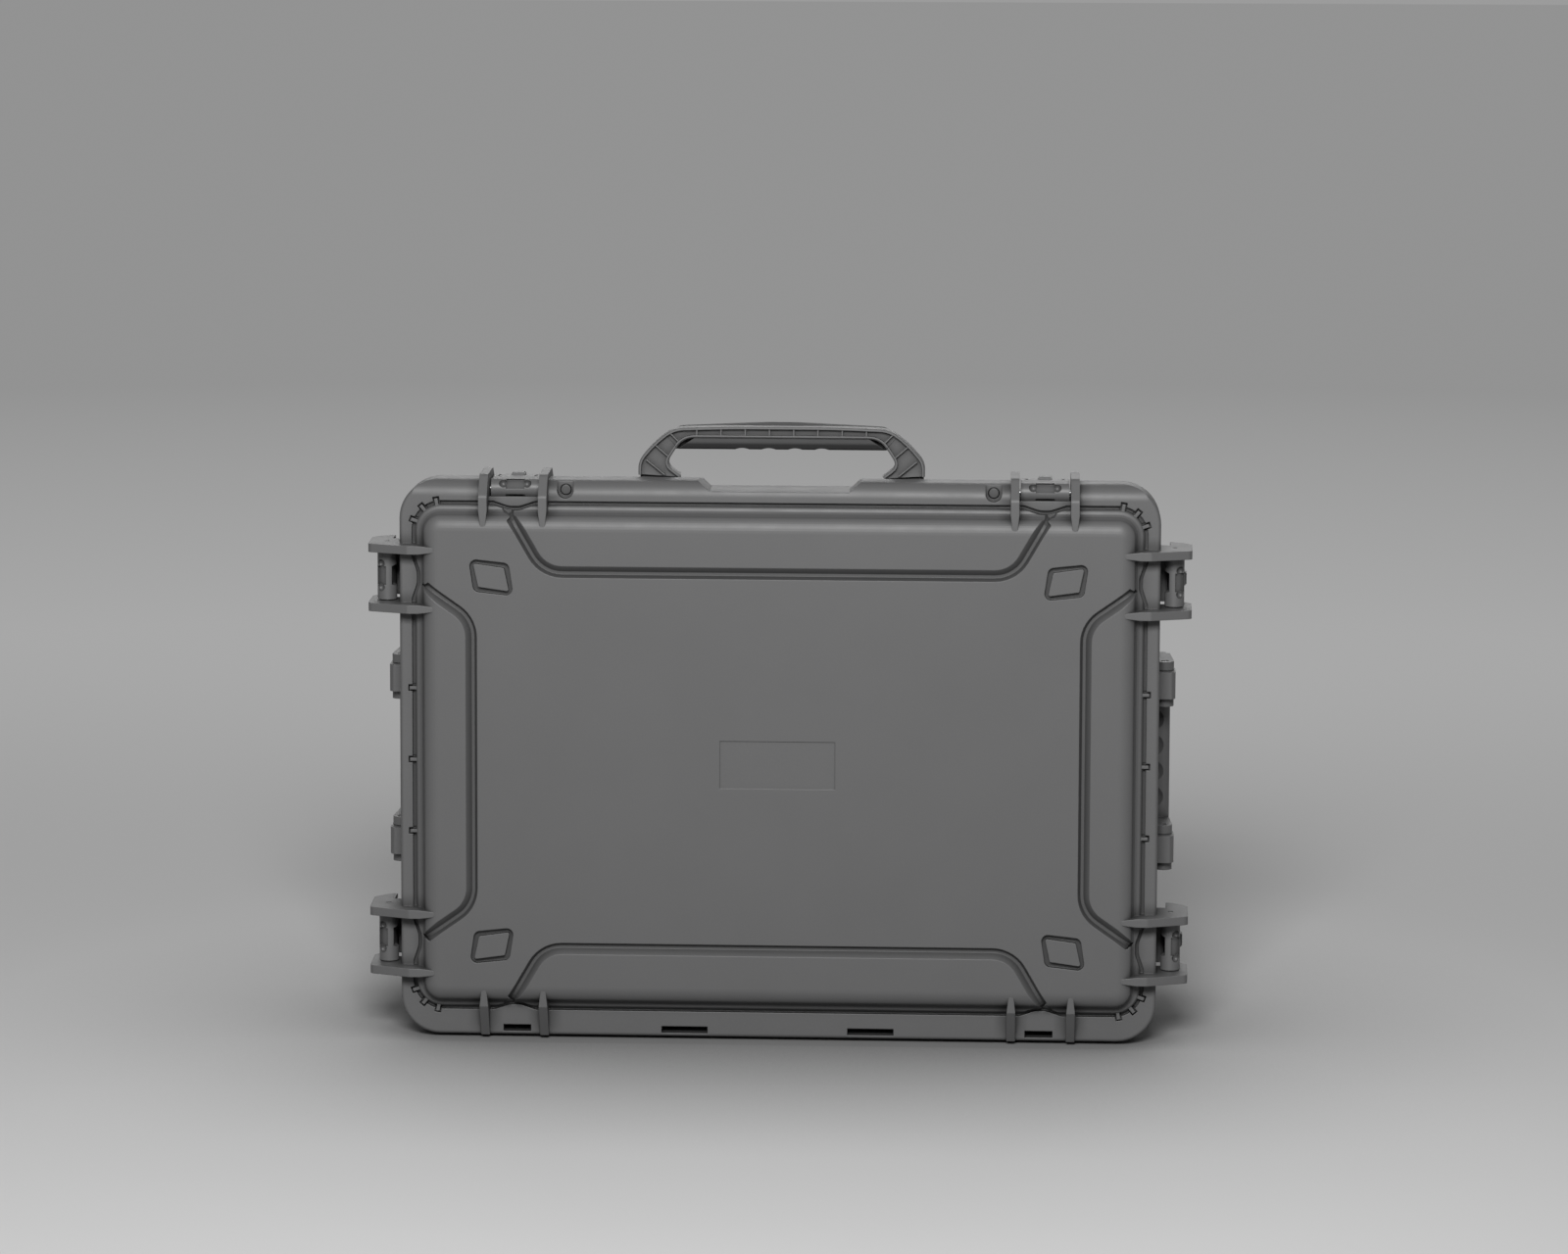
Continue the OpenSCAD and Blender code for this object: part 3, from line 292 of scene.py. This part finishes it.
def joined_rings(bm, rings, ends_meet=False):
    """Faces from each ring to the next, and either back to the first or over both ends."""
    for a, b in zip(rings, rings[1:] + (rings[:1] if ends_meet else [])):
        bmesh.ops.bridge_loops(bm, edges=a + b)
    if not ends_meet:
        for end in (rings[0], rings[-1]):
            bmesh.ops.contextual_create(bm, geom=end)
    bmesh.ops.recalc_face_normals(bm, faces=list(bm.faces))


def corners_at(node, y, reach=0.0002):
    """Lowest and highest X and Z of the corners that a CAD piece has at one depth."""
    found = [v.co for v in NODES[node].data.vertices if abs(v.co.y - y) < reach]
    xs, zs = [c.x for c in found], [c.z for c in found]
    return min(xs), max(xs), min(zs), max(zs)


def lid_pad():
    """Convoluted foam glued in the lid: rows of soft peaks facing the laptop."""
    lo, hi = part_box("lid_foam")
    w, h = hi.x - lo.x, hi.z - lo.z
    cols, rows, per = 20, 14, 8
    peak, edge_fade, edge_drop, corner = 0.016, 0.012, 0.002, 0.012
    bm = bmesh.new()
    bmesh.ops.create_grid(bm, x_segments=cols * per, y_segments=rows * per, size=0.5)
    for v in bm.verts:
        u, t = v.co.x + 0.5, v.co.y + 0.5
        wave = math.cos(2 * math.pi * cols * u) * math.cos(2 * math.pi * rows * t)
        fade = min(1.0, min(u * w, (1 - u) * w, t * h, (1 - t) * h) / edge_fade)
        y = hi.y - peak / 2 * (1 - wave * fade) - (1 - fade) * edge_drop
        x, z = (u - 0.5) * w, (t - 0.5) * h
        dx, dz = abs(x) - (w / 2 - corner), abs(z) - (h / 2 - corner)
        if dx > 0 and dz > 0:
            k = max(dx, dz) / math.hypot(dx, dz)
            x = math.copysign(w / 2 - corner + dx * k, x)
            z = math.copysign(h / 2 - corner + dz * k, z)
        v.co = Vector((x + (lo.x + hi.x) / 2, y, z + (lo.z + hi.z) / 2))
    front = list(bm.faces)
    walls = bmesh.ops.extrude_edge_only(bm, edges=[e for e in bm.edges if e.is_boundary])["geom"]
    for v in [g for g in walls if isinstance(g, bmesh.types.BMVert)]:
        v.co.y = lo.y
    bmesh.ops.contextual_create(bm, geom=[e for e in bm.edges if e.is_boundary])
    bmesh.ops.recalc_face_normals(bm, faces=list(bm.faces))
    for f in front:
        f.smooth = True
    mesh_piece("lid_foam_pad", bm, "lid", "foam", "lid_foam")


def base_block():
    """The base's foam with its laptop recess and thumb cut-outs, its edges eased as cut foam's are."""
    lo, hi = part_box("base_foam")
    mouth_corner, deep_corner, recess_corner, ease = 0.0136, 0.0191, 0.010, 0.003
    x0, x1, z0, z1 = corners_at("base_foam", lo.y)
    mouth_w, mouth_h, mouth_z = x1 - x0, z1 - z0, (z0 + z1) / 2
    widest = [v.co for v in NODES["base_foam"].data.vertices if v.co.z < lo.z + 0.0001]
    step_y = min(c.y for c in widest)
    deep_z = (lo.z + hi.z) / 2
    a0, a1, b0, b1 = corners_at("base_foam", hi.y)
    inside = [v.co for v in NODES["base_foam"].data.vertices
              if lo.y + 0.005 < v.co.y < hi.y - 0.01 and abs(v.co.x) < mouth_w / 2 - 0.02
              and abs(v.co.z - mouth_z) < mouth_h / 2 - 0.02]
    recess_y = max(c.y for c in inside)
    recess_h = 2 * max(abs(c.z - mouth_z) for c in inside)
    at_ends = [c for c in inside if abs(c.z - mouth_z) > recess_h / 2 - recess_corner - 0.001]
    recess_w = 2 * max(abs(c.x) for c in at_ends)
    thumb = max(abs(c.x) for c in inside) - recess_w / 2
    bm = bmesh.new()

    def outer(w, h, r, y, z):
        return ring(bm, round_rect(w, h, r, straight=thumb), y, 0, z)

    def recess(grow, y):
        outline = round_rect(recess_w + 2 * grow, recess_h + 2 * grow, recess_corner + grow, thumb)
        return ring(bm, outline, y, 0, mouth_z)

    rounding = [(ease * (1 - math.cos(a)), lo.y + ease * (1 - math.sin(a)))
                for a in (math.radians(d) for d in (0, 30, 60, 90))]
    rings = [outer(a1 - a0, b1 - b0, deep_corner - 0.006, hi.y, deep_z),
             outer(hi.x - lo.x, hi.z - lo.z, deep_corner, step_y, deep_z),
             outer(mouth_w, mouth_h, mouth_corner, step_y, mouth_z)]
    rings += [outer(mouth_w - 2 * d, mouth_h - 2 * d, mouth_corner - d, y, mouth_z) for d, y in rounding]
    rings += [recess(d, y) for d, y in reversed(rounding)]
    rings += [recess(0, recess_y - 0.002), recess(-0.001, recess_y)]
    joined_rings(bm, rings)
    mesh_piece("base_foam_block", bm, "base", "foam", "base_foam")


def lid_gasket():
    """Tubular seal in the lid's groove: a round bead over a flat foot."""
    lo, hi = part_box("lid_seal")
    half, corner, flat = 0.002, 0.0155, 0.35
    w, h = hi.x - lo.x - 2 * half, hi.z - lo.z - 2 * half
    bead = (hi.y - lo.y) * (1 - flat)
    section = [(-half, lo.y), (half, lo.y)]
    section += [(half * math.cos(a), hi.y - bead + bead * math.sin(a))
                for a in (math.radians(15 * i) for i in range(13))]
    bm = bmesh.new()
    rings = [ring(bm, round_rect(w + 2 * d, h + 2 * d, corner + d), y, (lo.x + hi.x) / 2, (lo.z + hi.z) / 2)
             for d, y in section]
    joined_rings(bm, rings, ends_meet=True)
    for f in bm.faces:
        f.smooth = True
    mesh_piece("lid_gasket", bm, "lid", "seal", "lid_seal")


def return_spring(latch, turn):
    """Coil spring under a latch's button, turned about Y to face the way that the button travels."""
    lo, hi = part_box("button_spring_" + latch)
    middle = (lo + hi) / 2
    wire, coils, steps = 0.00025, 3.5, 24
    height = (hi - lo).z if turn == 0 else (hi - lo).x
    radius = (hi - lo).y / 2 - wire
    rise = height - 2 * wire
    bm = bmesh.new()
    start = Matrix.Translation((radius, 0, -rise / 2)) @ Matrix.Rotation(math.pi / 2, 4, "X")
    bmesh.ops.create_circle(bm, segments=8, radius=wire, matrix=start)
    bmesh.ops.spin(bm, geom=bm.verts[:] + bm.edges[:], cent=(0, 0, 0), axis=(0, 0, 1),
                   dvec=(0, 0, rise / (coils * steps)), angle=2 * math.pi * coils,
                   steps=int(coils * steps), use_merge=False, use_duplicate=False)
    bmesh.ops.holes_fill(bm, edges=[e for e in bm.edges if e.is_boundary], sides=0)
    bmesh.ops.recalc_face_normals(bm, faces=list(bm.faces))
    bmesh.ops.transform(bm, verts=bm.verts[:],
                        matrix=Matrix.Translation(middle) @ Matrix.Rotation(math.radians(turn), 4, "Y"))
    for f in bm.faces:
        f.smooth = len(f.verts) == 4
    mesh_piece("return_spring_" + latch, bm, "latch_" + latch, "pin", "button_spring_" + latch)


def soft_corner(a, b, c, reach, steps=8):
    """Points that round the corner at b, starting and ending reach away from it."""
    a, b, c = Vector(a), Vector(b), Vector(c)
    start, end = b + (a - b).normalized() * reach, b + (c - b).normalized() * reach
    parts = [i / steps for i in range(steps + 1)]
    return [start * (1 - t) ** 2 + b * 2 * t * (1 - t) + end * t ** 2 for t in parts]


def arch_edge(foot, corners):
    """One edge of the handle's arch, foot to foot, with its right side's corners as x, z and reach."""
    right = [foot] + [(x, z) for x, z, reach in corners]
    path = right + [(-x, z) for x, z in reversed(right)]
    reaches = [c[2] for c in corners] + [c[2] for c in reversed(corners)]
    points = [Vector(foot)]
    for before, at, after, reach in zip(path, path[1:], path[2:], reaches):
        points += soft_corner(before, at, after, reach)
    return points + [Vector((-foot[0], foot[1]))]


def square_to(points):
    """Directions square to a path, to its left."""
    ends = zip([points[0]] + points[:-1], points[1:] + [points[-1]])
    return [Vector((a.y - b.y, b.x - a.x)).normalized() for a, b in ends]


# The handle's ribs: upright ones a pitch apart, slanted ones by X, drop below the crown, lean and length
UPRIGHT_RIBS, RIB_PITCH, RIB_DROP, RIB_HEIGHT = 8, 0.0186, 0.0051, 0.0076
SLANTED_RIBS = ((0.0820, 0.0097, 45, 0.0096), (0.0918, 0.0200, 41, 0.0130), (0.0968, 0.0326, 39, 0.0184))
RIB_WALL, RIB_SET_BACK = 0.001, 0.0004


def handle_arch():
    """Carrying handle: an arched frame with thin rims round an open, ribbed channel, and its two legs."""
    lo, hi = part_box("handle_frame")
    front, back, crown = lo.y, lo.y + 0.012, hi.z
    foot, channel = crown - 0.0385, 0.0042
    outer = arch_edge((hi.x, foot), [(hi.x, crown - 0.0276, 0.006), (0.0975, crown - 0.0128, 0.01),
                                     (0.083, crown - 0.0021, 0.008), (0.040, crown - 0.0006, 0.02)])
    inner = arch_edge((0.0776, foot), [(0.0888, crown - 0.0300, 0.006), (0.0825, crown - 0.0200, 0.004),
                                       (0.0755, crown - 0.0096, 0.009), (0.040, crown - 0.0096, 0.02)])
    rim = [(0, back), (0, front + 0.0013), (0.0006, front + 0.0012), (0.0007, front + 0.0002),
           (0.0009, front), (0.0019, front), (0.0021, front + 0.0002), (0.0022, front + channel)]
    bm = bmesh.new()
    rings = []
    for a, b, from_a, from_b in zip(outer, inner, square_to(outer), square_to(inner)):
        section = [(a + from_a * d, y) for d, y in rim] + [(b - from_b * d, y) for d, y in reversed(rim)]
        rings.append(closed_loop(bm, [(p.x, y, p.y) for p, y in section]))
    joined_rings(bm, rings)
    rib_front = front + RIB_SET_BACK
    for i in range(UPRIGHT_RIBS):
        x = (i - (UPRIGHT_RIBS - 1) / 2) * RIB_PITCH
        rib(bm, (x, crown - RIB_DROP), 90, RIB_HEIGHT, rib_front, channel)
    for x, drop, lean, length in SLANTED_RIBS:
        for side in (1, -1):
            rib(bm, (side * x, crown - drop), side * lean, length, rib_front, channel)
    for side in (1, -1):
        handle_leg(bm, side, back - 0.003, hi.y, lo.z, foot)
    bmesh.ops.recalc_face_normals(bm, faces=list(bm.faces))
    for f in bm.faces:
        f.smooth = True
    arch = mesh_piece("handle_arch", bm, "carry_handle", "handle", "handle_frame")
    arch.data.set_sharp_from_angle(angle=math.radians(35))


def block(bm, lo, hi):
    """A plain block between two corners."""
    lo, hi = Vector(lo), Vector(hi)
    size = Matrix.Diagonal((*[abs(v) for v in hi - lo], 1))
    bmesh.ops.create_cube(bm, size=1.0, matrix=Matrix.Translation((lo + hi) / 2) @ size)


def rib(bm, middle, lean, length, front, depth):
    """A thin rib in the handle's channel, leaning from X by an angle."""
    place = Matrix.Translation((middle[0], front + depth / 2, middle[1]))
    turn = Matrix.Rotation(math.radians(-lean), 4, "Y")
    size = Matrix.Diagonal((length, depth, RIB_WALL, 1))
    bmesh.ops.create_cube(bm, size=1.0, matrix=place @ turn @ size)


def handle_leg(bm, side, front, rear, low, foot):
    """The leg behind the arch, down to a bored eye on the handle's pin."""
    eye, bore, near, far = 0.006, 0.00255, side * 0.0785, side * 0.1090
    pin = Vector((0, rear - eye, low + eye))
    corners = ((near, bore), (far, bore), (far, eye), (near, eye))
    wall = closed_loop(bm, [pin + Vector((x, r, 0)) for x, r in corners])
    bmesh.ops.spin(bm, geom=wall, cent=pin, axis=(1, 0, 0), dvec=(0, 0, 0), angle=math.tau,
                   steps=32, use_merge=True)
    block(bm, (near, pin.y - eye, pin.z + 0.0032), (far, rear, foot + 0.0003))
    block(bm, (side * 0.0905, front, foot - 0.002), (side * 0.1085, rear, foot + 0.009))


lid_pad()
base_block()
lid_gasket()
handle_arch()
for end in ("left", "right"):
    return_spring("top_" + end, 0)
    for level in ("upper", "lower"):
        return_spring(end + "_" + level, 90 if end == "right" else -90)


# Floor, backdrop and light
BACKDROP = (0.33, 0.33, 0.33)


def seen_directly(tree):
    """1 for what the camera, a gloss or a glass shows, 0 for light that falls on the object."""
    path = tree.nodes.new("ShaderNodeLightPath")
    total = path.outputs["Is Camera Ray"]
    for other in ("Is Glossy Ray", "Is Transmission Ray"):
        add = tree.nodes.new("ShaderNodeMath")
        add.operation = "MAXIMUM"
        tree.links.new(total, add.inputs[0])
        tree.links.new(path.outputs[other], add.inputs[1])
        total = add.outputs[0]
    return total


def paper_floor():
    """Pale paper floor with a painted shadow close to the case, running out into a backdrop further off."""
    mat, tree, shader = new_material("floor_paper")
    shader.inputs["Roughness"].default_value = 0.9
    shader.inputs["Specular IOR Level"].default_value = 0.1
    # Painted shadow: the floor's colour is darkened where the case hides it from the light
    near = tree.nodes.new("ShaderNodeAmbientOcclusion")
    near.samples = 16
    near.inputs["Distance"].default_value = 0.35
    painted_floor_shadow = span(tree, near.outputs["AO"], 0.35, 1.0, 0.45, 1.0)
    pale = span(tree, seen_directly(tree), 0.25, 0.68)
    paper = shades(tree, multiply(tree, painted_floor_shadow, pale), (0, 0, 0), (1, 1, 1))
    tree.links.new(paper, shader.inputs["Base Color"])
    place = object_coords(tree)
    far = tree.nodes.new("ShaderNodeVectorMath")
    far.operation = "LENGTH"
    tree.links.new(place, far.inputs[0])
    away = span(tree, far.outputs["Value"], 0.0, 1.0, 0.7, 2.2)
    backdrop = tree.nodes.new("ShaderNodeEmission")
    distance = span(tree, far.outputs["Value"], 0.0, 1.0, 0.5, 5.0)
    tree.links.new(shades(tree, distance, (0.45, 0.45, 0.45), (0.29, 0.29, 0.29)), backdrop.inputs["Color"])
    blend = tree.nodes.new("ShaderNodeMixShader")
    tree.links.new(multiply(tree, away, seen_directly(tree)), blend.inputs[0])
    tree.links.new(shader.outputs[0], blend.inputs[1])
    tree.links.new(backdrop.outputs[0], blend.inputs[2])
    out = [n for n in tree.nodes if n.type == "OUTPUT_MATERIAL"][0]
    tree.links.new(blend.outputs[0], out.inputs[0])
    bm = bmesh.new()
    bmesh.ops.create_grid(bm, x_segments=1, y_segments=1, size=30.0)
    mesh = bpy.data.meshes.new("studio_floor")
    bm.to_mesh(mesh)
    bm.free()
    mesh.materials.append(mat)
    floor = bpy.data.objects.new("studio_floor", mesh)
    SCENE.collection.objects.link(floor)


def softbox(name, place, aim, size, power):
    light = bpy.data.lights.new(name, "AREA")
    light.shape = "RECTANGLE"
    light.size, light.size_y = size
    light.energy = power
    obj = bpy.data.objects.new(name, light)
    obj.location = place
    obj.rotation_euler = (Vector(aim) - Vector(place)).to_track_quat("-Z", "Y").to_euler()
    obj.visible_camera = False
    SCENE.collection.objects.link(obj)


def studio_world(fill):
    world = bpy.data.worlds.new("studio_world")
    world.use_nodes = True
    SCENE.world = world
    tree = world.node_tree
    tree.nodes.clear()
    out = tree.nodes.new("ShaderNodeOutputWorld")
    lighting = tree.nodes.new("ShaderNodeBackground")
    seen = tree.nodes.new("ShaderNodeBackground")
    pick = tree.nodes.new("ShaderNodeMixShader")
    lighting.inputs[0].default_value = (fill, fill, fill, 1)
    seen.inputs[0].default_value = (*BACKDROP, 1)
    tree.links.new(seen_directly(tree), pick.inputs[0])
    tree.links.new(lighting.outputs[0], pick.inputs[1])
    tree.links.new(seen.outputs[0], pick.inputs[2])
    tree.links.new(pick.outputs[0], out.inputs[0])


paper_floor()
softbox("key_softbox", (0.0, -2.6, 1.6), (0, 0, 0.22), (1.0, 0.8), 80)
softbox("back_softbox", (0.0, 2.8, 1.7), (0, 0, 0.25), (2.6, 1.2), 22)
studio_world(0.095)

SCENE.view_settings.view_transform = "Standard"
